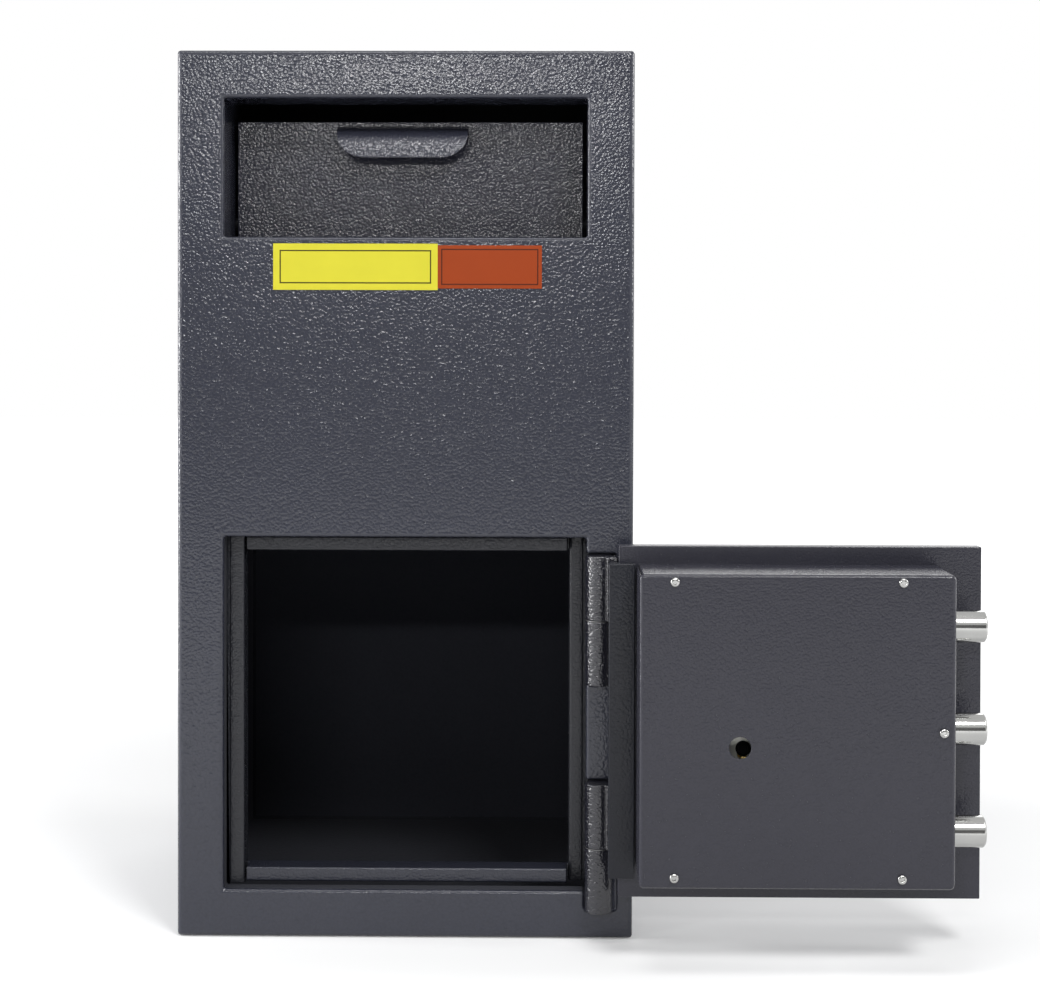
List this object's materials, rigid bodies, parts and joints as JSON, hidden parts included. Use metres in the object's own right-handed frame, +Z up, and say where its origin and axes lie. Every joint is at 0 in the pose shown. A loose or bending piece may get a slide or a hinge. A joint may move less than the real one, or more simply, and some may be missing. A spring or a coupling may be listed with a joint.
{
  "type": "drop safe with deposit drawer",
  "caption": "Floor-standing steel drop safe with a tilting deposit drawer above a thick hinged door, shown with the door swung open and its bolts thrown",
  "frame": {"origin": "centre of the underside of the body, on the floor", "axes": "+Z up, the front face looks along -Y, +X towards the hinged side of the door"},
  "size_m": [0.6209, 0.445, 0.692],
  "materials": {
    "hammer_paint": "slate grey hammer-finish enamel over steel, orange-peel texture with small glints",
    "dark_paint": "dull dark grey primer",
    "bright_steel": "turned and polished steel",
    "dark_steel": "oiled mild steel, dull",
    "chrome_trim": "satin chrome",
    "zinc_casting": "bare zinc casting, dull",
    "brass_parts": "machined brass",
    "black_dial": "satin black with white graduations",
    "yellow_film": "printed film, blank",
    "brown_film": "printed film, blank"
  },
  "bodies": {
    "body": {"body_shell": "hammer_paint", "back_panel": "hammer_paint", "jamb_latch_side": "hammer_paint", "jamb_hinge_side": "hammer_paint", "header_bar": "hammer_paint", "sill_bar": "hammer_paint", "body_knuckle_upper": "hammer_paint", "body_knuckle_lower": "hammer_paint", "hinge_pin_upper": "dark_steel", "hinge_pin_lower": "dark_steel", "hopper_surround": "hammer_paint", "hopper_pivot_left": "dark_paint", "hopper_pivot_right": "dark_paint", "anti_fish_baffle": "dark_paint", "sticker_yellow": "yellow_film", "sticker_brown": "brown_film"},
    "door": {"door_plate": "hammer_paint", "dead_bar": "hammer_paint", "door_knuckle_upper": "hammer_paint", "door_knuckle_lower": "hammer_paint", "boltwork_cover": "hammer_paint", "bolt_guide": "dark_steel", "guide_stud_1": "dark_steel", "guide_stud_2": "dark_steel", "cover_screw_1": "bright_steel", "cover_screw_2": "bright_steel", "cover_screw_3": "bright_steel", "cover_screw_4": "bright_steel", "cover_screw_5": "bright_steel", "cover_post_1": "dark_steel", "cover_post_2": "dark_steel", "cover_post_3": "dark_steel", "cover_post_4": "dark_steel", "handle_rose": "chrome_trim", "spindle_bush": "brass_parts", "hard_plate": "dark_steel", "lock_case": "zinc_casting", "lock_cover": "zinc_casting", "dial_ring": "chrome_trim"},
    "handle": {"handle_lever": "chrome_trim", "handle_spindle": "dark_steel", "handle_crank": "dark_steel"},
    "boltwork": {"bolt_carriage": "dark_steel", "locking_bolt_top": "bright_steel", "locking_bolt_middle": "bright_steel", "locking_bolt_bottom": "bright_steel"},
    "dial": {"dial": "black_dial", "dial_spindle": "dark_steel", "drive_cam": "brass_parts", "lock_wheel_1": "brass_parts", "lock_wheel_2": "brass_parts", "lock_wheel_3": "brass_parts"},
    "lock_bolt": {"lock_bolt": "brass_parts"},
    "hopper": {"hopper_front": "hammer_paint", "hopper_lip": "hammer_paint", "hopper_side_left": "hammer_paint", "hopper_side_right": "hammer_paint", "hopper_tray": "hammer_paint"}
  },
  "joints": [
    {"name": "door_hinge", "type": "hinge", "parent": "body", "child": "door", "pos_m": [0.1515, -0.183, 0.159], "axis": [0, 0, -1], "range_deg": [0, 180]},
    {"name": "handle_turn", "type": "hinge", "parent": "door", "child": "handle", "pos_m": [0.343, -0.17, 0.143], "axis": [0, 1, 0], "range_deg": [0, 90]},
    {"name": "bolt_slide", "type": "slide", "parent": "door", "child": "boltwork", "axis": [-1, 0, 0], "range_m": [0, 0.022]},
    {"name": "dial_turn", "type": "hinge", "parent": "door", "child": "dial", "pos_m": [0.27, -0.17, 0.143], "axis": [0, 1, 0], "continuous": true},
    {"name": "lock_bolt_slide", "type": "slide", "parent": "door", "child": "lock_bolt", "axis": [0, 0, 1], "range_m": [0, 0.009]},
    {"name": "hopper_tilt", "type": "hinge", "parent": "body", "child": "hopper", "pos_m": [0, -0.116, 0.56], "axis": [1, 0, 0], "range_deg": [0, 48]}
  ],
  "couplings": [
    {"joint": "bolt_slide", "follows": "handle_turn", "m_per_rad": 0.014006}
  ]
}
